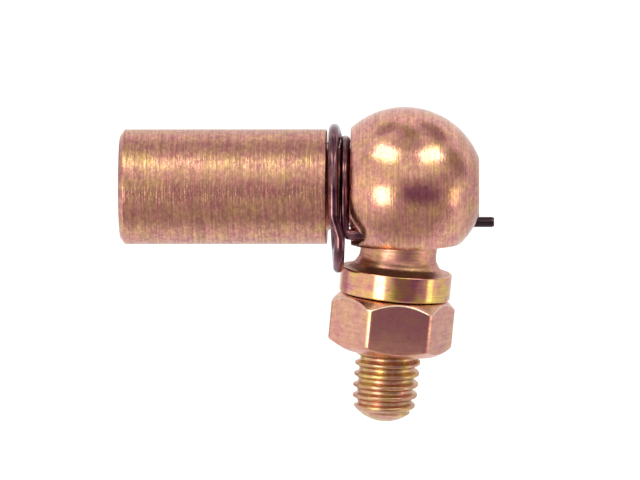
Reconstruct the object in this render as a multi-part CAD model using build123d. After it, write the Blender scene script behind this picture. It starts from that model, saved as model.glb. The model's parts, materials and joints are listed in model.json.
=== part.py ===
from build123d import *
import math
import os

# Angle ball joint with a wire safety clip, M6, ball 10.  Millimetres.
# Frame: origin at the centre of the collar's seat face, where the lever is clamped.
# +Z runs up the stud's axis to the ball.  The socket's shank points towards -X, and droops
# until the clip's finger loop leans on the collar.

# Threads, standard M6
thread_d = 5.9
tap_d = 5.0
nut_bore_clearance = 0.05

# Ball stud
ball_d = 10.0
ball_height = 9.9
neck_d = 6.9
neck_flare_r = 1.45
collar_d = 10.1
collar_height = 2.3
collar_edge_break = 0.1
stud_length = 11.65
tip_dome_height = 1.5

# Hexagon nut
nut_across_flats = 10.0
nut_height = 5.0
nut_seat_gap = 0.15
nut_corner_d = 11.3
nut_turn = 7.9
nut_top_face_d = 9.7
nut_top_chamfer_angle = 45.0
nut_bottom_face_d = 8.8
nut_bottom_chamfer_angle = 30.0
nut_countersink_d = 6.7

# Socket, measured along the shank's axis from the ball's centre
head_d = 14.45
head_end_flat_d = 5.2
mouth_depth = 5.1
ball_clearance = 0.04
shank_d = 10.4
shank_end = 25.75
shank_end_chamfer = 0.5
shoulder_edge_break = 0.12
groove_wall = 4.85
groove_end_clearance = 0.29
groove_d = 7.0
groove_corner = 0.6
thread_hole_depth = 15.0
drill_point_angle = 118.0
thread_hole_countersink_d = 6.6
socket_droop = 5.6

# Safety clip, one bent wire: near leg, first turn, finger loop, second turn, far leg
wire_d = 0.95
wire_hole_clearance = 0.06
leg_offset = 4.3
leg_depth = 3.8
leg_bend_r = 0.6
leg_near_end = 3.2
near_hole_end = 3.4
leg_far_end = 8.1
first_turn_height = 4.14
first_turn_half_width = 4.25
first_turn_r = 4.15
second_turn_height = 5.17
second_turn_half_width = 5.35
second_turn_r = 5.0
turn_side_gap = 0.05
crossing_r = 1.2
crossing_depth = 1.6
crossing_spread = 0.2
finger_loop_depth = 7.2
finger_loop_half_width = 5.6
finger_loop_side = 3.2
finger_loop_bend_share = 0.75
finger_loop_lean = 0.15
finger_loop_skew = 0.4
finger_loop_rise = 1.0

# The groove takes the clip's two turns side by side
shoulder = groove_wall + 2 * wire_d + groove_end_clearance


def revolve_about_z(outline):
    """Turn a closed outline in the XZ plane into a solid of revolution."""
    return revolve(make_face(outline), Axis.Z, 360)


def ball_stud():
    """Turned in one piece: ball, waisted neck, round collar and threaded shank with a domed end."""
    ball_r = ball_d / 2
    neck_r = neck_d / 2
    collar_r = collar_d / 2
    thread_r = thread_d / 2
    neck_foot = collar_height + neck_flare_r
    neck_top = ball_height - math.sqrt(ball_r**2 - neck_r**2)
    ball_top = (0, 0, ball_height + ball_r)
    dome_start = -stud_length + tip_dome_height
    dome_r = (thread_r**2 + tip_dome_height**2) / (2 * tip_dome_height)
    half_way = math.asin(thread_r / dome_r) / 2
    flare_dip = neck_flare_r * math.sqrt(0.5)
    tip = (0, 0, -stud_length)
    outline = [
        Line(ball_top, tip),
        ThreePointArc(
            tip,
            (dome_r * math.sin(half_way), 0, -stud_length + dome_r * (1 - math.cos(half_way))),
            (thread_r, 0, dome_start),
        ),
        Polyline(
            (thread_r, 0, dome_start),
            (thread_r, 0, 0),
            (collar_r - collar_edge_break, 0, 0),
            (collar_r, 0, collar_edge_break),
            (collar_r, 0, collar_height - collar_edge_break),
            (collar_r - collar_edge_break, 0, collar_height),
            (neck_r + neck_flare_r, 0, collar_height),
        ),
        ThreePointArc(
            (neck_r + neck_flare_r, 0, collar_height),
            (neck_r + neck_flare_r - flare_dip, 0, neck_foot - flare_dip),
            (neck_r, 0, neck_foot),
        ),
        Line((neck_r, 0, neck_foot), (neck_r, 0, neck_top)),
        ThreePointArc((neck_r, 0, neck_top), (ball_r, 0, ball_height), ball_top),
    ]
    return revolve_about_z(outline)


def hex_nut():
    """Hexagon nut, chamfered on both faces, run up the thread until it is just off the collar."""
    corner_r = nut_corner_d / 2
    top_r = nut_top_face_d / 2
    bottom_r = nut_bottom_face_d / 2
    top_rise = (corner_r - top_r) * math.tan(math.radians(nut_top_chamfer_angle))
    bottom_rise = (corner_r - bottom_r) * math.tan(math.radians(nut_bottom_chamfer_angle))
    bore_r = thread_d / 2 + nut_bore_clearance
    sink_r = nut_countersink_d / 2
    sink_depth = sink_r - bore_r
    hexagon = extrude(RegularPolygon(nut_across_flats / math.sqrt(3), 6), nut_height)
    turned = revolve_about_z(
        [
            Polyline(
                (bore_r, 0, sink_depth),
                (sink_r, 0, 0),
                (bottom_r, 0, 0),
                (corner_r, 0, bottom_rise),
                (corner_r, 0, nut_height - top_rise),
                (top_r, 0, nut_height),
                (sink_r, 0, nut_height),
                (bore_r, 0, nut_height - sink_depth),
                close=True,
            )
        ]
    )
    place = Pos(0, 0, -nut_seat_gap - nut_height) * Rot(0, 0, nut_turn)
    return place * (hexagon & turned)


def socket_blank():
    """Turned about the shank's axis: shank, clip groove and the round head with a faced end."""
    head_r = head_d / 2
    shank_r = shank_d / 2
    flat_r = head_end_flat_d / 2
    head_end = math.sqrt(head_r**2 - flat_r**2)
    wall_r = math.sqrt(head_r**2 - groove_wall**2)
    groove_r = groove_d / 2
    outline = [
        Polyline(
            (head_end, 0, 0),
            (-shank_end, 0, 0),
            (-shank_end, 0, shank_r - shank_end_chamfer),
            (-shank_end + shank_end_chamfer, 0, shank_r),
            (-shoulder - shoulder_edge_break, 0, shank_r),
            (-shoulder, 0, shank_r - shoulder_edge_break),
            (-shoulder, 0, groove_r + groove_corner),
            (-shoulder + groove_corner, 0, groove_r),
            (-groove_wall, 0, groove_r),
            (-groove_wall, 0, wall_r),
        ),
        ThreePointArc((-groove_wall, 0, wall_r), (0, 0, head_r), (head_end, 0, flat_r)),
        Line((head_end, 0, flat_r), (head_end, 0, 0)),
    ]
    return revolve(make_face(outline), Axis.X, 360)


def rod_thread_hole():
    """Blind tapping hole in the shank's end: countersunk mouth, full bore and drill point."""
    tap_r = tap_d / 2
    sink_r = thread_hole_countersink_d / 2
    bottom = -shank_end + thread_hole_depth
    point = bottom + tap_r / math.tan(math.radians(drill_point_angle / 2))
    outline = Polyline(
        (-shank_end, 0, 0),
        (-shank_end, 0, sink_r),
        (-shank_end + sink_r - tap_r, 0, tap_r),
        (bottom, 0, tap_r),
        (point, 0, 0),
        close=True,
    )
    return revolve(make_face([outline]), Axis.X, 360)


def ball_socket():
    """Socket in its own frame, ball centre at the origin and the shank level along -X."""
    cup_r = ball_d / 2 + ball_clearance
    hole_r = wire_d / 2 + wire_hole_clearance
    cup = Sphere(cup_r)
    cup += Cylinder(cup_r, head_d / 2, align=(Align.CENTER, Align.CENTER, Align.MAX))
    below_mouth = Pos(-groove_wall, 0, -mouth_depth) * Box(
        head_d, head_d, head_d, align=(Align.MIN, Align.CENTER, Align.MAX)
    )
    body = socket_blank() - rod_thread_hole() - below_mouth - cup
    hole_start = -head_d / 2
    for side, hole_end in ((-1, near_hole_end), (1, head_d / 2)):
        wire_hole = Rot(0, 90, 0) * Cylinder(
            hole_r, hole_end - hole_start, align=(Align.CENTER, Align.CENTER, Align.MIN)
        )
        body -= Pos(hole_start, side * leg_offset, -leg_depth) * wire_hole
    return body


def clip_route():
    """Corner points of the bent wire with their bend radii, in the socket's own frame."""
    right_x = -groove_wall - turn_side_gap - wire_d / 2
    left_x = -shoulder + turn_side_gap + wire_d / 2
    leg_x = -groove_wall - leg_bend_r
    second_x = right_x - wire_d - turn_side_gap
    lower_x = (left_x + right_x) / 2
    near_x = lower_x + turn_side_gap
    inner_y = first_turn_half_width
    outer_y = second_turn_half_width
    loop_y = finger_loop_half_width
    side_top = finger_loop_side - finger_loop_depth
    loop_r = finger_loop_bend_share * finger_loop_side
    corners = [
        ((leg_x, -leg_offset, -leg_depth), leg_bend_r),
        ((right_x, -inner_y, first_turn_height), first_turn_r),
        ((right_x, inner_y, first_turn_height), first_turn_r),
        ((left_x, inner_y + crossing_spread, -crossing_depth), crossing_r),
        ((near_x - finger_loop_skew, loop_y, finger_loop_rise - finger_loop_depth), loop_r),
        ((near_x, -loop_y, -finger_loop_depth), loop_r),
        ((lower_x + finger_loop_lean, -outer_y, side_top), crossing_r),
        ((second_x, -outer_y, side_top / 2), crossing_r),
        ((second_x, -outer_y, second_turn_height), second_turn_r),
        ((second_x, outer_y, second_turn_height), second_turn_r),
        ((leg_x, outer_y + crossing_spread, -crossing_depth / 4), crossing_r),
        ((leg_x, leg_offset, -leg_depth), leg_bend_r),
    ]
    start = (leg_near_end, -leg_offset, -leg_depth)
    end = (leg_far_end, leg_offset, -leg_depth)
    points = [start] + [point for point, _ in corners] + [end]
    return points, [bend for _, bend in corners]


def safety_clip():
    """Spring-wire clip: two legs that hold the ball in, one and a half turns and a finger loop."""
    points, bends = clip_route()
    path = FilletPolyline(*points, radius=bends)
    section = Plane(origin=path @ 0, z_dir=path % 0) * Circle(wire_d / 2)
    return sweep(section, path=path)


def main():
    os.makedirs("parts", exist_ok=True)
    on_ball = Pos(0, 0, ball_height) * Rot(0, -socket_droop, 0)
    nodes = {
        "ball_stud": ball_stud(),
        "hex_nut": hex_nut(),
        "ball_socket": on_ball * ball_socket(),
        "safety_clip": on_ball * safety_clip(),
    }
    for name, solid in nodes.items():
        solid.label = name
        export_step(solid, os.path.join("parts", name + ".step"))


main()
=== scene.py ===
import json
import math

import bmesh
import bpy
from mathutils import Matrix, Vector


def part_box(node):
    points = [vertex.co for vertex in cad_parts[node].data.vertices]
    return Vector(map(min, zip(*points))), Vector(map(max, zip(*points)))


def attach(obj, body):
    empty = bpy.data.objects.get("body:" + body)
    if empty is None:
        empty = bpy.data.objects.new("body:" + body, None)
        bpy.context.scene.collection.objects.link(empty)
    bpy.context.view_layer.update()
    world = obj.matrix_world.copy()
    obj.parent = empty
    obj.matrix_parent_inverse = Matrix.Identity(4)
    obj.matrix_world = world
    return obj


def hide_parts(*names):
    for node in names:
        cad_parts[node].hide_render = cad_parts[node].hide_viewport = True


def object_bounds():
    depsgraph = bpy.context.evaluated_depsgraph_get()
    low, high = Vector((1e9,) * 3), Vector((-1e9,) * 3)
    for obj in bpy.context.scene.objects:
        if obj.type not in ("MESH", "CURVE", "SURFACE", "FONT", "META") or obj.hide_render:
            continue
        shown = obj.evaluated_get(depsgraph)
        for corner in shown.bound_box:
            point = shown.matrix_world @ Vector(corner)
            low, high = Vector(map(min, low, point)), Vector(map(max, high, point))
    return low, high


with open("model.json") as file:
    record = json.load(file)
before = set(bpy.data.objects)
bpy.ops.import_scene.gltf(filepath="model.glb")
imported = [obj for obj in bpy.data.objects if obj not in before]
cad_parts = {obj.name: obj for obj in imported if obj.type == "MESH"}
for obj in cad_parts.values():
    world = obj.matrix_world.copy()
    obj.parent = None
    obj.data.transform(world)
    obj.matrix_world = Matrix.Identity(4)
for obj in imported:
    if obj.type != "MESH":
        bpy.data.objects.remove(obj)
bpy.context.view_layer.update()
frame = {"record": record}

# ---------------------------------------------------------------------------------------------
# Ball socket.  One piece turned from free-cutting steel bar about the shank's axis, then bored
# for the ball, drilled for the clip's wire and tapped M6 in the shank's end.  Zinc plated and
# yellow chromated.  It swings on the ball, so it is made about the ball's centre.
# ---------------------------------------------------------------------------------------------
MM = 0.001
BALL_R = 5.0
ball_centre = Vector((0, 0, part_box("ball_stud")[1].z - BALL_R * MM))
mounts = {mount["name"]: mount for mount in frame["record"]["mounts"]}
shank_axis = Vector(mounts["rod_thread"]["axis"])
droop = math.atan2(-shank_axis.z, -shank_axis.x)
on_ball = Matrix.Translation(ball_centre) @ Matrix.Rotation(-droop, 4, "Y")

HEAD_R = (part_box("ball_socket")[1].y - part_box("ball_socket")[0].y) / 2 / MM
HEAD_FLAT_R = 2.6
SHANK_R = 5.2
SHANK_END = 25.75
END_CHAMFER_LENGTH = 0.42
END_CHAMFER_DEPTH = 0.58
GROOVE_WALL = 4.85
SHOULDER = 7.04
GROOVE_R = 3.5
GROOVE_CORNER = 0.6
MOUTH_DEPTH = 5.1
CUP_R = BALL_R + 0.04
WIRE_R = 0.475
WIRE_HOLE_R = 0.535
LEG_OFFSET = 4.3
LEG_DEPTH = 3.8
NEAR_HOLE_END = 3.4
THREAD_PITCH = 1.0
TAP_R = mounts["rod_thread"]["dims"]["r_mm"]
# Shares of one pitch: half the crest's flat, and one flank with its rounded edges
CREST_SHARE = 0.1
FLANK_SHARE = 0.29
# How much of a flank's shape is a smooth curve, the rest being straight
FLANK_EASING = 0.7
FEMALE_DEPTH = 0.52


def rounded(corners, step=0.25, swing=0.35):
    """Points of an outline whose corners (along, out, radius) are rounded by that radius.

    step is the longest gap between points, and swing the widest angle, in radians, on a corner.
    """
    points = []
    last = len(corners) - 1
    for i, (along, out, radius) in enumerate(corners):
        corner = Vector((along, out))
        if i in (0, last) or radius == 0:
            points.append(corner)
            continue
        before = (Vector(corners[i - 1][:2]) - corner).normalized()
        after = (Vector(corners[i + 1][:2]) - corner).normalized()
        half = before.angle(after) / 2
        centre = corner + (before + after).normalized() * (radius / math.sin(half))
        reach = radius / math.tan(half)
        start = corner + before * reach - centre
        end = corner + after * reach - centre
        count = max(3, round((math.pi - 2 * half) / swing))
        for k in range(count + 1):
            blend = start.lerp(end, k / count)
            points.append(centre + blend.normalized() * radius)
    dense = [points[0]]
    for point in points[1:]:
        gap = (point - dense[-1]).length
        pieces = max(1, math.ceil(gap / step))
        origin = dense[-1]
        dense += [origin.lerp(point, k / pieces) for k in range(1, pieces + 1)]
    return dense


def arc(centre, radius, start, end, count):
    """Points of an arc about (centre, 0), from one polar angle to another, in degrees."""
    angles = [math.radians(start + (end - start) * k / count) for k in range(count + 1)]
    return [Vector((centre + radius * math.cos(a), radius * math.sin(a))) for a in angles]


def metric_thread(phase, depth):
    """How far an ISO thread's flank lies below its crest, at a share of one pitch."""
    off_crest = abs(phase - round(phase))
    rise = min(max((off_crest - CREST_SHARE) / FLANK_SHARE, 0), 1)
    eased = rise * rise * (3 - 2 * rise)
    return depth * (eased * FLANK_EASING + rise * (1 - FLANK_EASING))


def turned(name, outline, segments=160, shape=None):
    """A solid of revolution about Z from (along, out) points.

    shape(along, out, angle), where it is given, moves a point's radius.
    """
    mesh = bmesh.new()
    rings = []
    for along, out in outline:
        if out < 1e-6:
            rings.append([mesh.verts.new((0, 0, along * MM))])
            continue
        ring = []
        for k in range(segments):
            angle = 2 * math.pi * k / segments
            radius = shape(along, out, angle) if shape else out
            ring.append(
                mesh.verts.new(
                    (radius * MM * math.cos(angle), radius * MM * math.sin(angle), along * MM)
                )
            )
        rings.append(ring)
    for low, high in zip(rings, rings[1:]):
        for k in range(segments):
            nxt = (k + 1) % segments
            if len(low) == 1 and len(high) == 1:
                continue
            if len(low) == 1:
                mesh.faces.new((low[0], high[k], high[nxt]))
            elif len(high) == 1:
                mesh.faces.new((low[k], high[0], low[nxt]))
            else:
                mesh.faces.new((low[k], high[k], high[nxt], low[nxt]))
    bmesh.ops.recalc_face_normals(mesh, faces=mesh.faces)
    data = bpy.data.meshes.new(name)
    mesh.to_mesh(data)
    mesh.free()
    piece = bpy.data.objects.new(name, data)
    bpy.context.scene.collection.objects.link(piece)
    return piece


def smooth_with_edges(piece, sharp_above=38):
    """Smooth shading that keeps the real edges sharp."""
    mesh = bmesh.new()
    mesh.from_mesh(piece.data)
    for face in mesh.faces:
        face.smooth = True
    for edge in mesh.edges:
        if len(edge.link_faces) == 2:
            edge.smooth = edge.calc_face_angle(0) < math.radians(sharp_above)
    mesh.to_mesh(piece.data)
    mesh.free()


def cut_away(piece, cutters):
    """Subtract the cutters from the piece, one after another, and delete them."""
    for cutter in cutters:
        modifier = piece.modifiers.new("cut", "BOOLEAN")
        modifier.operation = "DIFFERENCE"
        modifier.solver = "EXACT"
        modifier.object = cutter
    bpy.context.view_layer.update()
    evaluated = piece.evaluated_get(bpy.context.evaluated_depsgraph_get())
    data = bpy.data.meshes.new_from_object(evaluated)
    piece.modifiers.clear()
    piece.data = data
    for cutter in cutters:
        bpy.data.objects.remove(cutter)


HOLE_DEPTH = 15.0
POINT_LENGTH = 1.5
THREAD_END = -SHANK_END + HOLE_DEPTH
DRILL_POINT = THREAD_END + POINT_LENGTH
COUNTERSINK_R = 3.3
COUNTERSINK_DEPTH = 0.8
FEMALE_STEP = 0.06


def female_thread(along, out, angle):
    """The tapped hole's wall: the thread is cut outwards from the tapping bore."""
    if abs(out - TAP_R) > 1e-4 or along > THREAD_END - THREAD_PITCH:
        return out
    turn = along / THREAD_PITCH - angle / (2 * math.pi)
    return TAP_R + FEMALE_DEPTH - metric_thread(turn, FEMALE_DEPTH)


hole_wall = rounded([(DRILL_POINT, 0, 0), (THREAD_END, TAP_R, 0)], 0.5)
thread_rows = round((SHANK_END + THREAD_END - COUNTERSINK_DEPTH) / FEMALE_STEP)
hole_start = Vector((-SHANK_END + COUNTERSINK_DEPTH, TAP_R))
hole_end = Vector((THREAD_END, TAP_R))
hole_wall += [hole_end.lerp(hole_start, k / thread_rows) for k in range(1, thread_rows + 1)]
skin = rounded(
    [
        (-SHANK_END + COUNTERSINK_DEPTH, TAP_R, 0),
        (-SHANK_END, COUNTERSINK_R, 0.06),
        (-SHANK_END, SHANK_R - END_CHAMFER_DEPTH, 0.1),
        (-SHANK_END + END_CHAMFER_LENGTH, SHANK_R, 0.12),
        (-SHOULDER, SHANK_R, 0.12),
        (-SHOULDER, GROOVE_R + GROOVE_CORNER, 0.2),
        (-SHOULDER + GROOVE_CORNER, GROOVE_R, 0.2),
        (-GROOVE_WALL, GROOVE_R, 0.1),
        (-GROOVE_WALL, math.sqrt(HEAD_R**2 - GROOVE_WALL**2), 0),
    ]
)
wall_angle = math.degrees(math.acos(-GROOVE_WALL / HEAD_R))
flat_angle = math.degrees(math.asin(HEAD_FLAT_R / HEAD_R))
head = arc(0, HEAD_R, wall_angle, flat_angle, 90)
head_end = math.sqrt(HEAD_R**2 - HEAD_FLAT_R**2)
facing = rounded([(head_end, HEAD_FLAT_R, 0), (head_end, 0, 0)])
socket = turned("socket_body", hole_wall + skin[1:] + head[1:] + facing[1:], 192, female_thread)
socket.data.transform(Matrix.Rotation(math.radians(90), 4, "Y"))

# The cup goes on as a straight bore, down and out of the head
cup_outline = arc(0, CUP_R, 0, 90, 40)
cup_outline += [Vector((-4, CUP_R)), Vector((-9, CUP_R)), Vector((-9, 0))]
cup = turned("cup_cutter", cup_outline, 144)
bpy.ops.mesh.primitive_cube_add(size=1)
mouth = bpy.context.object
MOUTH_CUT = 20 * MM
mouth_centre = (-GROOVE_WALL * MM + MOUTH_CUT / 2, 0, -MOUTH_DEPTH * MM - MOUTH_CUT / 2)
mouth.data.transform(Matrix.Translation(mouth_centre) @ Matrix.Scale(MOUTH_CUT, 4))
cutters = [cup, mouth]
for side, bottom in ((-1, NEAR_HOLE_END), (1, HEAD_R)):
    hole_outline = [(-HEAD_R, 0), (-HEAD_R, WIRE_HOLE_R), (bottom, WIRE_HOLE_R), (bottom, 0)]
    hole = turned("wire_hole_cutter", [Vector(point) for point in hole_outline], 48)
    hole.data.transform(
        Matrix.Translation((0, side * LEG_OFFSET * MM, -LEG_DEPTH * MM))
        @ Matrix.Rotation(math.radians(90), 4, "Y")
    )
    cutters.append(hole)
cut_away(socket, cutters)
smooth_with_edges(socket)


def srgb(code):
    """Linear colour of an sRGB hex value."""
    parts = [int(code[i : i + 2], 16) / 255 for i in (1, 3, 5)]
    linear = [v / 12.92 if v <= 0.04045 else ((v + 0.055) / 1.055) ** 2.4 for v in parts]
    return (*linear, 1)


def add(tree, kind, links=(), **settings):
    """Add one node with its settings, and link (its input, another node's output) pairs."""
    node = tree.nodes.new(kind)
    for key, value in settings.items():
        if key.startswith("in_"):
            node.inputs[int(key[3:])].default_value = value
        else:
            setattr(node, key, value)
    for target, source in links:
        tree.links.new(source, node.inputs[target])
    return node


FILM_MM = 1.5
SPECK_MM = 0.45


def chromated_steel(
    name, tones, grain, line_mm, streak_mm, depth_mm, roughness, spread, turned_on=None, level=0.0
):
    """Steel, zinc plated and yellow chromated: rose to gold, with violet specks and tool marks.

    grain is how strongly the specks and marks show, line_mm and streak_mm are the marks' sizes
    along X, Y and Z, and depth_mm is their depth.  turned_on is a point and the direction of the
    turning axis, spread is how far the gloss spreads across the cut, and level is the angle that
    brings that axis back to level.
    """
    material = bpy.data.materials.new(name)
    material.use_nodes = True
    tree = material.node_tree
    tree.nodes.clear()
    shader = add(tree, "ShaderNodeBsdfPrincipled")
    shader.inputs["Metallic"].default_value = 1.0
    on_piece = add(tree, "ShaderNodeTexCoord").outputs["Object"]
    levelled = add(tree, "ShaderNodeVectorRotate", [(0, on_piece)], rotation_type="Y_AXIS")
    levelled.inputs["Center"].default_value = ball_centre
    levelled.inputs["Angle"].default_value = level
    where = levelled.outputs[0]
    # The chromate film's thickness varies over a millimetre or so, and with it its tone
    film = add(
        tree, "ShaderNodeTexNoise", [(0, where)], in_2=1 / (FILM_MM * MM), in_3=4.0, in_4=0.6
    )
    tone = add(tree, "ShaderNodeValToRGB", [(0, film.outputs[0])])
    while len(tone.color_ramp.elements) < len(tones):
        tone.color_ramp.elements.new(1.0)
    for stop, (position, code) in zip(tone.color_ramp.elements, tones):
        stop.position = position
        stop.color = srgb(code)
    # Fine specks: violet where the film pools in the tool marks, straw yellow where it is thin
    specks = add(
        tree, "ShaderNodeTexNoise", [(0, where)], in_2=1 / (SPECK_MM * MM), in_3=2.0, in_4=0.7
    )
    pooled = add(
        tree, "ShaderNodeMapRange", [(0, specks.outputs[0])], in_1=0.53, in_2=0.72, in_4=0.5 * grain
    )
    violet = add(
        tree,
        "ShaderNodeMix",
        [(0, pooled.outputs[0]), (6, tone.outputs[0])],
        data_type="RGBA",
        in_7=srgb("#9a6078"),
    )
    thin = add(
        tree, "ShaderNodeMapRange", [(0, specks.outputs[0])], in_1=0.47, in_2=0.3, in_4=0.5 * grain
    )
    straw = add(
        tree,
        "ShaderNodeMix",
        [(0, thin.outputs[0]), (6, violet.outputs[2])],
        data_type="RGBA",
        in_7=srgb("#ecc692"),
    )
    # Tool marks: fine unbroken lines along the cut, and shorter streaks where the tool dragged
    lines = add(tree, "ShaderNodeVectorMath", [(0, where)], operation="MULTIPLY")
    lines.inputs[1].default_value = [1 / (size * MM) for size in line_mm]
    fine = add(tree, "ShaderNodeTexNoise", [(0, lines.outputs[0])], in_2=1.0, in_3=2.0, in_4=0.6)
    streaks = add(tree, "ShaderNodeVectorMath", [(0, where)], operation="MULTIPLY")
    streaks.inputs[1].default_value = [1 / (size * MM) for size in streak_mm]
    short = add(tree, "ShaderNodeTexNoise", [(0, streaks.outputs[0])], in_2=1.0, in_3=3.0, in_4=0.7)
    marks = add(tree, "ShaderNodeMix", [(2, short.outputs[0]), (3, fine.outputs[0])], in_0=0.45)
    shade = add(
        tree,
        "ShaderNodeMapRange",
        [(0, marks.outputs[0])],
        in_1=0.41,
        in_2=0.59,
        in_3=0.58,
        in_4=1.25,
    )
    colour = add(
        tree,
        "ShaderNodeMix",
        [(6, straw.outputs[2]), (7, shade.outputs[0])],
        data_type="RGBA",
        blend_type="MULTIPLY",
        in_0=grain,
    )
    tree.links.new(colour.outputs[2], shader.inputs["Base Color"])
    dull = add(
        tree,
        "ShaderNodeMapRange",
        [(0, marks.outputs[0])],
        in_1=0.3,
        in_2=0.7,
        in_3=roughness + 0.07,
        in_4=roughness - 0.05,
    )
    tree.links.new(dull.outputs[0], shader.inputs["Roughness"])
    bump = add(tree, "ShaderNodeBump", [("Height", marks.outputs[0])])
    bump.inputs["Distance"].default_value = depth_mm * MM
    tree.links.new(bump.outputs[0], shader.inputs["Normal"])
    if turned_on:
        # The cut runs round the turning axis, and the gloss spreads across it
        point, axis = turned_on
        from_axis = add(tree, "ShaderNodeVectorMath", [(0, on_piece)], operation="SUBTRACT")
        from_axis.inputs[1].default_value = point
        around = add(
            tree, "ShaderNodeVectorMath", [(0, from_axis.outputs[0])], operation="CROSS_PRODUCT"
        )
        around.inputs[1].default_value = axis
        lathe = add(
            tree,
            "ShaderNodeVectorTransform",
            [(0, around.outputs[0])],
            vector_type="VECTOR",
            convert_from="OBJECT",
            convert_to="WORLD",
        )
        tree.links.new(lathe.outputs[0], shader.inputs["Tangent"])
        shader.inputs["Anisotropic"].default_value = spread
    add(tree, "ShaderNodeOutputMaterial", [(0, shader.outputs[0])])
    return material


# The shank's ring marks spread its reflections along its length
shank_finish = chromated_steel(
    "yellow chromate on turned steel, shank",
    tones=[(0.3, "#c6827f"), (0.44, "#ce9185"), (0.56, "#d29c82"), (0.7, "#d3a477")],
    grain=0.72,
    line_mm=(0.17, 5.0, 5.0),
    streak_mm=(0.26, 0.5, 0.5),
    depth_mm=0.045,
    roughness=0.27,
    spread=0.4,
    turned_on=(ball_centre, shank_axis),
    level=droop,
)
# The head is smoother from its form tool, so it shows the windows
head_finish = chromated_steel(
    "yellow chromate on form-turned steel, head",
    tones=[(0.3, "#cf8a89"), (0.44, "#d8998d"), (0.56, "#dba288"), (0.7, "#dcab7b")],
    grain=0.62,
    line_mm=(0.17, 5.0, 5.0),
    streak_mm=(0.26, 0.5, 0.5),
    depth_mm=0.022,
    roughness=0.17,
    spread=0.2,
    turned_on=(ball_centre, shank_axis),
    level=droop,
)
socket.data.materials.clear()
socket.data.materials.append(shank_finish)
socket.data.materials.append(head_finish)
for face in socket.data.polygons:
    face.material_index = int(face.center.x > -GROOVE_WALL * MM)
socket.data.transform(on_ball)
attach(socket, "socket")
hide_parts("ball_socket")

# ---------------------------------------------------------------------------------------------
# Ball stud.  One piece turned from steel bar, with the thread rolled M6 up to the collar: ball,
# waisted neck, round collar and shank with a domed end.  Zinc plated and yellow chromated.  It
# snaps up into the cup past the clip's legs.
# ---------------------------------------------------------------------------------------------
BALL_HEIGHT = 9.9
NECK_R = 3.45
NECK_FLARE_R = 1.45
COLLAR_R = 5.05
COLLAR_HEIGHT = 2.3
THREAD_R = 2.95
STUD_LENGTH = 11.65
DOME_HEIGHT = 1.5
THREAD_DEPTH = 0.43
# How much lower the crests start at the domed end
LEAD_IN = 0.14
MALE_STEP = 0.05

dome_r = (THREAD_R**2 + DOME_HEIGHT**2) / (2 * DOME_HEIGHT)
dome_angle = math.degrees(math.asin(THREAD_R / dome_r))
dome = arc(-STUD_LENGTH + dome_r, dome_r, 180, 180 - dome_angle, 30)
shank_rows = round((STUD_LENGTH - DOME_HEIGHT) / MALE_STEP)
shank_low = Vector((-STUD_LENGTH + DOME_HEIGHT, THREAD_R))
shank_high = Vector((0, THREAD_R))
shank = [shank_low.lerp(shank_high, k / shank_rows) for k in range(1, shank_rows + 1)]
neck_top = BALL_HEIGHT - math.sqrt(BALL_R**2 - NECK_R**2)
collar = rounded(
    [
        (0, THREAD_R, 0),
        (0, COLLAR_R, 0.12),
        (COLLAR_HEIGHT, COLLAR_R, 0.1),
        (COLLAR_HEIGHT, NECK_R, NECK_FLARE_R),
        (neck_top, NECK_R, 0),
    ],
    0.2,
)
ball_angle = 180 - math.degrees(math.asin(NECK_R / BALL_R))
ball = arc(BALL_HEIGHT, BALL_R, ball_angle, 0, 60)


def male_thread(along, out, angle):
    """The rolled thread: its depth runs out at the domed end and just under the collar."""
    if along > 0 or out < 1.0:
        return out
    depth = metric_thread(along / THREAD_PITCH - angle / (2 * math.pi), THREAD_DEPTH)
    from_dome = along + STUD_LENGTH - DOME_HEIGHT
    run_out = LEAD_IN * min(max(1 - from_dome / THREAD_PITCH, 0), 1)
    return min(out, THREAD_R - run_out - depth)


stud = turned("stud_body", dome + shank + collar[1:] + ball[1:], 144, male_thread)
smooth_with_edges(stud, 50)
# The collar and neck are turned bright and mirror the room in clear bands
stud_finish = chromated_steel(
    "yellow chromate on bright-turned steel, stud",
    tones=[(0.3, "#c88088"), (0.44, "#dea08a"), (0.56, "#e6ba76"), (0.7, "#e8d266")],
    grain=0.3,
    line_mm=(5.0, 5.0, 0.12),
    streak_mm=(2.0, 2.0, 0.2),
    depth_mm=0.003,
    roughness=0.14,
    spread=0.1,
    turned_on=(Vector((0, 0, 0)), Vector((0, 0, 1))),
)
# Between the thread's flanks the light bounces twice and deepens, so this copy of the finish is
# given paler tones than the other pieces: painted light that offsets that shade
thread_finish = chromated_steel(
    "yellow chromate on rolled thread",
    tones=[(0.3, "#c88c84"), (0.44, "#cfa086"), (0.56, "#d4b07c"), (0.7, "#d6be6c")],
    grain=0.5,
    line_mm=(3.0, 3.0, 0.3),
    streak_mm=(0.7, 0.7, 0.5),
    depth_mm=0.006,
    roughness=0.3,
    spread=0.0,
)
stud.data.materials.append(stud_finish)
stud.data.materials.append(thread_finish)
# The neck is left as the plain turning tool cut it
neck_finish = chromated_steel(
    "yellow chromate on turned steel, neck",
    tones=[(0.3, "#cb8888"), (0.44, "#d8988c"), (0.56, "#dba287"), (0.7, "#dcac7e")],
    grain=0.5,
    line_mm=(5.0, 5.0, 0.14),
    streak_mm=(0.8, 0.8, 0.2),
    depth_mm=0.008,
    roughness=0.36,
    spread=0.2,
    turned_on=(Vector((0, 0, 0)), Vector((0, 0, 1))),
)
stud.data.materials.append(neck_finish)
for face in stud.data.polygons:
    if face.center.z < -0.01 * MM:
        face.material_index = 1
    elif face.center.z > (COLLAR_HEIGHT + 0.01) * MM:
        face.material_index = 2
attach(stud, "stud")
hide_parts("ball_stud")

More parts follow.
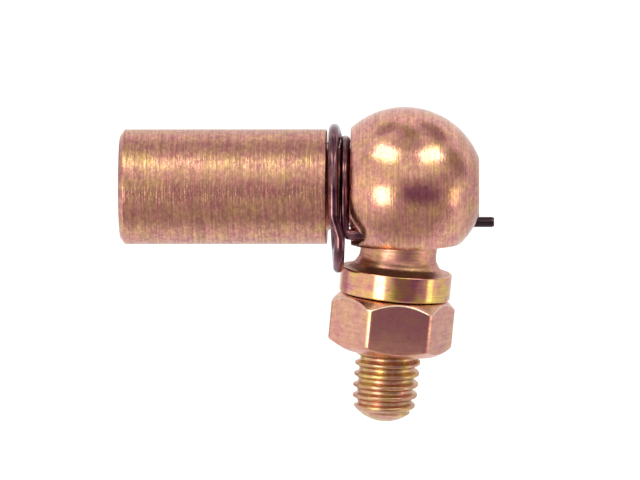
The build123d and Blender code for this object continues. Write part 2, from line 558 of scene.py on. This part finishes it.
# ---------------------------------------------------------------------------------------------
# Hexagon nut.  Cold-formed M6 steel nut, chamfered on both faces and tapped.  Zinc plated and
# yellow chromated, a little rosier than the turned pieces.  Run up until it is just off the collar.
# ---------------------------------------------------------------------------------------------
NUT_FLAT_R = 5.0
NUT_CORNER_R = 5.65
NUT_HEIGHT = 5.0
NUT_BORE_R = 3.0
NUT_SINK_R = 3.35
NUT_TURN = math.radians(7.9)
TOP_FACE_R = 4.85
BOTTOM_FACE_R = 4.4
BOTTOM_CHAMFER = math.radians(30)
nut_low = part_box("hex_nut")[0].z / MM


def hexagon(angle):
    """Distance from the axis to the nut's side at an angle, with the corners rolled over."""
    sixth = math.radians(60)
    from_flat = (angle % sixth) - sixth / 2
    side = NUT_FLAT_R / math.cos(from_flat)
    ease = 40.0
    nearer = math.exp(-ease * (side - NUT_FLAT_R)) + math.exp(-ease * (NUT_CORNER_R - NUT_FLAT_R))
    return NUT_FLAT_R - math.log(nearer) / ease


def nut_section(angle):
    """The nut's wall at an angle, from the bottom of the bore round the outside to its top."""
    out = hexagon(angle)
    low = (out - BOTTOM_FACE_R) * math.tan(BOTTOM_CHAMFER)
    high = NUT_HEIGHT - (out - TOP_FACE_R)
    sink = NUT_SINK_R - NUT_BORE_R
    corners = [
        (sink, NUT_BORE_R, 0),
        (0, NUT_SINK_R, 0.05),
        (0, BOTTOM_FACE_R, 0.1),
        (low, out, 0.2),
        (high, out, 0.2),
        (NUT_HEIGHT, TOP_FACE_R, 0.1),
        (NUT_HEIGHT, NUT_SINK_R, 0.05),
        (NUT_HEIGHT - sink, NUT_BORE_R, 0),
    ]
    return rounded(corners, step=100)


def nut_mesh(segments=720):
    """The nut's sections swept round its axis."""
    mesh = bmesh.new()
    sections = []
    for k in range(segments):
        angle = 2 * math.pi * k / segments
        across = math.cos(angle + NUT_TURN) * MM
        deep = math.sin(angle + NUT_TURN) * MM
        wall = nut_section(angle)
        sections.append(
            [mesh.verts.new((p.y * across, p.y * deep, (nut_low + p.x) * MM)) for p in wall]
        )
    for k in range(segments):
        here = sections[k]
        there = sections[(k + 1) % segments]
        for j in range(len(here)):
            nxt = (j + 1) % len(here)
            mesh.faces.new((here[j], there[j], there[nxt], here[nxt]))
    bmesh.ops.recalc_face_normals(mesh, faces=mesh.faces)
    data = bpy.data.meshes.new("nut_body")
    mesh.to_mesh(data)
    mesh.free()
    return data


nut = bpy.data.objects.new("nut_body", nut_mesh())
bpy.context.scene.collection.objects.link(nut)
smooth_with_edges(nut, 30)
nut_finish = chromated_steel(
    "yellow chromate on cold-formed steel, nut",
    tones=[(0.3, "#d6938b"), (0.44, "#dc9f8f"), (0.56, "#dfa78e"), (0.7, "#e0b086")],
    grain=0.35,
    line_mm=(3.0, 3.0, 0.25),
    streak_mm=(0.8, 0.8, 0.3),
    depth_mm=0.003,
    roughness=0.24,
    spread=0.0,
)
# Painted highlight: a pale tone along the edges of the top chamfer stands in for the bright line
# that glints there
painted_edge_highlight = chromated_steel(
    "painted highlight along the nut's top chamfer edges",
    tones=[(0.3, "#e8c2b2"), (0.44, "#efcdbd"), (0.56, "#f3d5c2"), (0.7, "#f6dcc4")],
    grain=0.3,
    line_mm=(0.5, 0.5, 0.5),
    streak_mm=(0.3, 0.3, 0.3),
    depth_mm=0.002,
    roughness=0.3,
    spread=0.0,
)
nut.data.materials.append(nut_finish)
nut.data.materials.append(painted_edge_highlight)
# The painted highlight goes only on the outer sloping faces of the top chamfer
for face in nut.data.polygons:
    outside = math.hypot(face.center.x, face.center.y) > (BOTTOM_FACE_R + 0.15) * MM
    upper = face.center.z > (nut_low + NUT_HEIGHT / 2) * MM
    sloping = 0.1 < abs(face.normal.z) < 0.62
    face.material_index = int(outside and upper and sloping)
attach(nut, "nut")
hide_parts("hex_nut")

# ---------------------------------------------------------------------------------------------
# Safety clip.  One length of spring wire, bent and tempered dark: a leg through each hole in the
# head, one and a half turns in the groove and a finger loop under the shank.  The legs hold the
# ball in the cup, and the wire's spring holds the clip behind the shoulder.
# ---------------------------------------------------------------------------------------------
TURN_GAP = 0.05
LEG_BEND_R = 0.6
NEAR_LEG_END = 3.2
FAR_LEG_END = 8.1
FIRST_TURN_HEIGHT = 4.14
FIRST_TURN_HALF_WIDTH = 4.25
FIRST_TURN_R = 4.15
SECOND_TURN_HEIGHT = 5.17
SECOND_TURN_HALF_WIDTH = 5.35
SECOND_TURN_R = 5.0
CROSSING_R = 1.2
CROSSING_DEPTH = 1.6
CROSSING_SPREAD = 0.2
LOOP_DEPTH = 7.2
LOOP_HALF_WIDTH = 5.6
LOOP_SIDE = 3.2
LOOP_BEND_R = 0.75 * LOOP_SIDE
LOOP_LEAN = 0.15
LOOP_SKEW = 0.4
LOOP_RISE = 1.0
CUT_END_SHARE = 0.84

# Where each part of the wire runs along the shank's axis, measured from the ball's centre
first_turn_x = -GROOVE_WALL - TURN_GAP - WIRE_R
second_turn_x = first_turn_x - 2 * WIRE_R - TURN_GAP
shoulder_x = -SHOULDER + TURN_GAP + WIRE_R
leg_x = -GROOVE_WALL - LEG_BEND_R
loop_x = (first_turn_x + shoulder_x) / 2
loop_top = LOOP_SIDE - LOOP_DEPTH
# The wire's corners in order, each with its bend radius
wire_corners = [
    ((NEAR_LEG_END, -LEG_OFFSET, -LEG_DEPTH), 0),
    ((leg_x, -LEG_OFFSET, -LEG_DEPTH), LEG_BEND_R),
    ((first_turn_x, -FIRST_TURN_HALF_WIDTH, FIRST_TURN_HEIGHT), FIRST_TURN_R),
    ((first_turn_x, FIRST_TURN_HALF_WIDTH, FIRST_TURN_HEIGHT), FIRST_TURN_R),
    ((shoulder_x, FIRST_TURN_HALF_WIDTH + CROSSING_SPREAD, -CROSSING_DEPTH), CROSSING_R),
    ((loop_x + TURN_GAP - LOOP_SKEW, LOOP_HALF_WIDTH, LOOP_RISE - LOOP_DEPTH), LOOP_BEND_R),
    ((loop_x + TURN_GAP, -LOOP_HALF_WIDTH, -LOOP_DEPTH), LOOP_BEND_R),
    ((loop_x + LOOP_LEAN, -SECOND_TURN_HALF_WIDTH, loop_top), CROSSING_R),
    ((second_turn_x, -SECOND_TURN_HALF_WIDTH, loop_top / 2), CROSSING_R),
    ((second_turn_x, -SECOND_TURN_HALF_WIDTH, SECOND_TURN_HEIGHT), SECOND_TURN_R),
    ((second_turn_x, SECOND_TURN_HALF_WIDTH, SECOND_TURN_HEIGHT), SECOND_TURN_R),
    ((leg_x, SECOND_TURN_HALF_WIDTH + CROSSING_SPREAD, -CROSSING_DEPTH / 4), CROSSING_R),
    ((leg_x, LEG_OFFSET, -LEG_DEPTH), LEG_BEND_R),
    ((FAR_LEG_END, LEG_OFFSET, -LEG_DEPTH), 0),
]


def bent_wire_line(corners, step=0.22, widest=0.16):
    """Centre line of a wire bent round each corner by its radius, as points step apart or less.

    widest is the largest angle between two points on a bend, in radians.
    """
    line = [Vector(corners[0][0])]
    for i in range(1, len(corners) - 1):
        corner = Vector(corners[i][0])
        radius = corners[i][1]
        before = (Vector(corners[i - 1][0]) - corner).normalized()
        after = (Vector(corners[i + 1][0]) - corner).normalized()
        half = before.angle(after) / 2
        centre = corner + (before + after).normalized() * (radius / math.sin(half))
        reach = radius / math.tan(half)
        start = corner + before * reach - centre
        turn = math.pi - 2 * half
        axis = before.cross(after).normalized()
        count = max(2, math.ceil(turn * radius / step), math.ceil(turn / widest))
        for k in range(count + 1):
            swing = Matrix.Rotation(-turn * k / count, 3, axis)
            line.append(centre + swing @ start)
    line.append(Vector(corners[-1][0]))
    even = [line[0]]
    for point in line[1:]:
        origin = even[-1]
        pieces = max(1, math.ceil((point - origin).length / step))
        even += [origin.lerp(point, k / pieces) for k in range(1, pieces + 1)]
    return even


def wire_mesh(line, radius, sides=28):
    """A round tube along the line, its cut ends slightly dressed."""
    mesh = bmesh.new()
    rings = []
    normal = Vector((0, 0, 1))
    for i, point in enumerate(line):
        before = line[max(i - 1, 0)]
        after = line[min(i + 1, len(line) - 1)]
        tangent = (after - before).normalized()
        normal = (normal - tangent * normal.dot(tangent)).normalized()
        side = tangent.cross(normal)
        shrink = CUT_END_SHARE if i in (0, len(line) - 1) else 1.0
        ring = []
        for k in range(sides):
            angle = 2 * math.pi * k / sides
            spoke = (normal * math.cos(angle) + side * math.sin(angle)) * radius * shrink
            ring.append(mesh.verts.new((point + spoke) * MM))
        rings.append(ring)
    for low, high in zip(rings, rings[1:]):
        for k in range(sides):
            nxt = (k + 1) % sides
            mesh.faces.new((low[k], low[nxt], high[nxt], high[k]))
    mesh.faces.new(list(reversed(rings[0])))
    mesh.faces.new(rings[-1])
    bmesh.ops.recalc_face_normals(mesh, faces=mesh.faces)
    data = bpy.data.meshes.new("clip_wire_body")
    mesh.to_mesh(data)
    mesh.free()
    return data


clip = bpy.data.objects.new("clip_wire_body", wire_mesh(bent_wire_line(wire_corners), WIRE_R))
bpy.context.scene.collection.objects.link(clip)
smooth_with_edges(clip, 50)
clip.data.transform(on_ball)
clip_finish = bpy.data.materials.new("tempered spring wire")
clip_finish.use_nodes = True
tree = clip_finish.node_tree
tree.nodes.clear()
where = add(tree, "ShaderNodeTexCoord")
scale = add(tree, "ShaderNodeTexNoise", [(0, where.outputs["Object"])], in_2=0.9 / MM, in_3=3.0)
tint = add(tree, "ShaderNodeValToRGB", [(0, scale.outputs[0])])
tint.color_ramp.elements[0].position = 0.35
tint.color_ramp.elements[0].color = srgb("#573844")
tint.color_ramp.elements[1].position = 0.7
tint.color_ramp.elements[1].color = srgb("#93676f")
# Painted shade: the wire's colour is darkened towards the head's side, over the legs under and
# through the head
along = add(tree, "ShaderNodeSeparateXYZ", [(0, where.outputs["Object"])])
leg = add(tree, "ShaderNodeMapRange", [(0, along.outputs["X"])], in_1=-4 * MM, in_2=2 * MM)
leg_painted_shade = add(
    tree,
    "ShaderNodeMix",
    [(0, leg.outputs[0]), (6, tint.outputs[0])],
    data_type="RGBA",
    in_7=srgb("#4a3a42"),
)
worn = add(tree, "ShaderNodeMapRange", [(0, scale.outputs[0])], in_3=0.1, in_4=0.24)
shader = add(
    tree,
    "ShaderNodeBsdfPrincipled",
    [("Base Color", leg_painted_shade.outputs[2]), ("Roughness", worn.outputs[0])],
)
shader.inputs["Metallic"].default_value = 1.0
add(tree, "ShaderNodeOutputMaterial", [(0, shader.outputs[0])])
clip.data.materials.append(clip_finish)
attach(clip, "socket")
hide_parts("safety_clip")

# ---------------------------------------------------------------------------------------------
# Floor, light and camera.  A white table and backdrop, soft windows in front, and the dim
# half of the room behind the camera, which the bright metal shows as its maroon bands.
# ---------------------------------------------------------------------------------------------
FLOOR_SIZE = 1.2
FLOOR_GAP = 12 * MM
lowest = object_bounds()[0].z
bpy.ops.mesh.primitive_plane_add(size=FLOOR_SIZE, location=(0, 0, lowest - FLOOR_GAP))
floor = bpy.context.object
floor.name = "floor"
paper = bpy.data.materials.new("white paper")
paper.use_nodes = True
tree = paper.node_tree
tree.nodes.clear()
path = add(tree, "ShaderNodeLightPath")
matt = add(tree, "ShaderNodeBsdfDiffuse")
matt.inputs["Color"].default_value = (0.88, 0.88, 0.88, 1)
# What the camera sees of the table is lifted to white
lift = add(
    tree, "ShaderNodeMath", [(0, path.outputs["Is Camera Ray"])], operation="MULTIPLY", in_1=0.35
)
glow = add(tree, "ShaderNodeEmission", [(1, lift.outputs[0])])
sheet = add(tree, "ShaderNodeAddShader", [(0, matt.outputs[0]), (1, glow.outputs[0])])
# The metal looks through the sheet to the room's own colours, and the low window shines through it
through = add(tree, "ShaderNodeBsdfTransparent")
unseen = add(
    tree,
    "ShaderNodeMath",
    [(0, path.outputs["Is Glossy Ray"]), (1, path.outputs["Is Shadow Ray"])],
    operation="MAXIMUM",
)
seen = add(
    tree,
    "ShaderNodeMixShader",
    [(0, unseen.outputs[0]), (1, sheet.outputs[0]), (2, through.outputs[0])],
)
add(tree, "ShaderNodeOutputMaterial", [(0, seen.outputs[0])])
floor.data.materials.append(paper)

world = bpy.data.worlds.new("studio")
bpy.context.scene.world = world
world.use_nodes = True
tree = world.node_tree
tree.nodes.clear()
where = add(tree, "ShaderNodeTexCoord")
# The room is dim in front of the object, where the camera stands, and white behind it
depth = add(tree, "ShaderNodeSeparateXYZ", [(0, where.outputs["Generated"])])
behind = add(
    tree, "ShaderNodeMapRange", [(0, depth.outputs["Y"])], interpolation_type="SMOOTHSTEP"
)
behind.inputs[1].default_value = -0.45
behind.inputs[2].default_value = 0.1
tint = add(tree, "ShaderNodeMix", [(0, behind.outputs[0])], data_type="RGBA")
tint.inputs[6].default_value = (0.52, 0.46, 0.44, 1)
tint.inputs[7].default_value = (1, 1, 1, 1)


def direction(azimuth, height):
    """Unit vector towards an azimuth and a height in degrees; azimuth 0 is -Y, 90 is +X."""
    turn, rise = math.radians(azimuth), math.radians(height)
    return Vector(
        (math.sin(turn) * math.cos(rise), -math.cos(turn) * math.cos(rise), math.sin(rise))
    )


# Patches of the room: azimuth, height, half width and half height in degrees, and colour
room = [
    (132, -5, 38, 28, (0.78, 0.76, 0.78)),  # wall behind, on the right
    (-48, -2, 40, 42, (1.1, 1.1, 0.96)),  # sunlit wall on the left
    (8, 38, 52, 20, (1.04, 1.08, 0.94)),  # wall between and around the upper windows
    (23, -3, 30, 13, (0.23, 0.13, 0.24)),  # dark doorway beside the camera
    (180, 60, 40, 11, (1.14, 1.1, 1.1)),  # top of the backdrop
    (180, 84, 26, 9, (0.42, 0.36, 0.36)),  # dark ceiling beam, overhead
    (128, 58, 20, 16, (0.44, 0.38, 0.38)),  # the beam, going down on the right
    (95, 30, 16, 20, (0.42, 0.36, 0.34)),  # its post
    (-128, 61, 14, 11, (0.46, 0.4, 0.4)),  # the beam, going down on the left
    (-152, 74, 9, 7, (0.58, 0.52, 0.52)),  # its near end
    (-134, -5, 16, 20, (0.62, 0.48, 0.56)),  # mauve wall behind, on the left
]
for azimuth, rise, across, tall, colour in room:
    reach = math.sin(math.radians(across))
    flatten = math.sin(math.radians(tall)) * math.cos(math.radians(rise))
    stretch = Vector((1, 1, reach / flatten)) / reach
    squashed = add(
        tree, "ShaderNodeVectorMath", [(0, where.outputs["Generated"])], operation="MULTIPLY"
    )
    squashed.inputs[1].default_value = stretch
    off = add(tree, "ShaderNodeVectorMath", [(0, squashed.outputs[0])], operation="DISTANCE")
    off.inputs[1].default_value = direction(azimuth, rise) * stretch
    inside = add(
        tree,
        "ShaderNodeMapRange",
        [(0, off.outputs["Value"])],
        interpolation_type="SMOOTHSTEP",
        in_1=0.65,
        in_2=1.35,
        in_3=1.0,
        in_4=0.0,
    )
    tint = add(
        tree,
        "ShaderNodeMix",
        [(0, inside.outputs[0]), (6, tint.outputs[2])],
        data_type="RGBA",
        in_7=(*colour, 1),
    )
path = add(tree, "ShaderNodeLightPath")
light = add(tree, "ShaderNodeBackground", [(0, tint.outputs[2])], in_1=1.0)
white = add(tree, "ShaderNodeBackground", in_1=1.0)
white.inputs[0].default_value = (1, 1, 1, 1)
both = add(
    tree,
    "ShaderNodeMixShader",
    [(0, path.outputs["Is Camera Ray"]), (1, light.outputs[0]), (2, white.outputs[0])],
)
add(tree, "ShaderNodeOutputWorld", [(0, both.outputs[0])])


WINDOW_DISTANCE = 0.35


def window(name, azimuth, height, size, radiance, colour):
    """A soft rectangular light, placed by its direction from the ball and its brightness."""
    lamp = bpy.data.lights.new(name, "AREA")
    lamp.shape = "RECTANGLE"
    lamp.size, lamp.size_y = size
    lamp.energy = radiance * math.pi * size[0] * size[1]
    lamp.color = srgb(colour)[:3]
    holder = bpy.data.objects.new(name, lamp)
    bpy.context.scene.collection.objects.link(holder)
    out = direction(azimuth, height)
    holder.location = ball_centre + out * WINDOW_DISTANCE
    holder.visible_camera = False
    holder.rotation_euler = out.to_track_quat("Z", "Y").to_euler()


window("left window", -47, 49, (0.2, 0.12), 4.1, "#f2ffe2")
window("right window", 52, 52, (0.19, 0.1), 4.6, "#f2ffe2")
window("low window", -32, -9, (0.12, 0.13), 5.6, "#f6ffd8")
window("side window", 77, -5, (0.08, 0.12), 1.4, "#fff4d4")

camera_data = bpy.data.cameras.new("camera")
camera = bpy.data.objects.new("camera", camera_data)
bpy.context.scene.collection.objects.link(camera)
bpy.context.scene.camera = camera
CAMERA_DISTANCE = 0.60
VIEW_WIDTH = 57.92
VIEW_CENTRE = Vector((-7.67, -4.83, 0))
camera_data.sensor_width = 36
camera_data.lens = camera_data.sensor_width * CAMERA_DISTANCE / (VIEW_WIDTH * MM)
CAMERA_AZIMUTH = 1.3
CAMERA_ELEVATION = 7.7
CAMERA_ROLL = math.radians(-0.2)
# Direction from the joint to the camera, in the socket's own level frame
towards = direction(CAMERA_AZIMUTH, CAMERA_ELEVATION)
facing_camera = towards.to_track_quat("Z", "Y").to_matrix().to_4x4()
facing_camera = facing_camera @ Matrix.Rotation(CAMERA_ROLL, 4, "Z")
stand = Matrix.Translation(towards * CAMERA_DISTANCE) @ facing_camera
aim = stand @ Matrix.Translation(VIEW_CENTRE * MM)
camera.matrix_world = on_ball @ aim
bpy.context.scene.view_settings.view_transform = "Standard"
